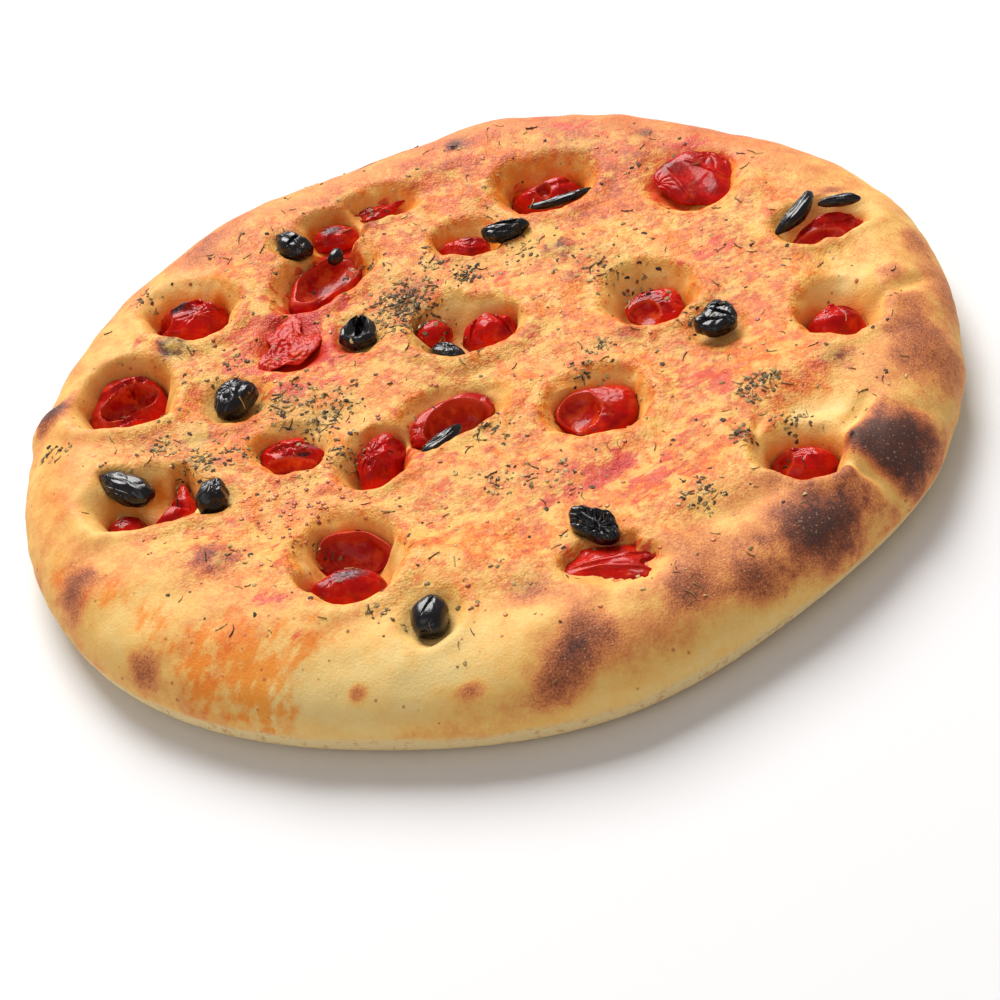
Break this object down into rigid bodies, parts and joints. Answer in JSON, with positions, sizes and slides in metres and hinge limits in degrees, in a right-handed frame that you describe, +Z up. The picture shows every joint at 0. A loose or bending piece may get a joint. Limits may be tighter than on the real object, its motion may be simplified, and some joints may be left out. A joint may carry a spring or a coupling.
{
  "type": "focaccia barese",
  "caption": "Round flat focaccia loaf with a puffed browned rim, deep finger dimples, roasted cherry tomatoes, black olives and dried oregano baked on",
  "frame": {"origin": "centre of the loaf's bounding box on the flat underside, where it rests on a table", "axes": "+Z is up out of the browned top; +Y points to the far side of the loaf as the picture shows it; +X points to the right of the picture, which is turned about 12 degrees on the camera's own axis"},
  "size_m": [0.3515, 0.3406, 0.04],
  "materials": {
    "crust": "baked dough, golden brown with darker blisters, faintly oily",
    "tomato": "roasted tomato skin and flesh, wet and glossy",
    "olive": "wrinkled black olive, oily"
  },
  "bodies": {
    "root": {"crust": "crust", "tomato_01": "tomato", "tomato_02": "tomato", "tomato_03": "tomato", "tomato_04": "tomato", "tomato_05": "tomato", "tomato_06": "tomato", "tomato_07": "tomato", "tomato_08": "tomato", "tomato_09": "tomato", "tomato_10": "tomato", "tomato_11": "tomato", "tomato_12": "tomato", "tomato_13": "tomato", "tomato_14": "tomato", "tomato_15": "tomato", "tomato_16": "tomato", "tomato_17": "tomato", "tomato_18": "tomato", "tomato_19": "tomato", "tomato_20": "tomato", "tomato_21": "tomato", "tomato_22": "tomato", "tomato_23": "tomato", "tomato_24": "tomato", "olive_01": "olive", "olive_02": "olive", "olive_03": "olive", "olive_04": "olive", "olive_05": "olive", "olive_06": "olive", "olive_07": "olive", "olive_08": "olive", "olive_09": "olive", "olive_10": "olive", "olive_11": "olive", "olive_12": "olive", "olive_13": "olive", "olive_14": "olive", "olive_15": "olive"}
  },
  "joints": []
}
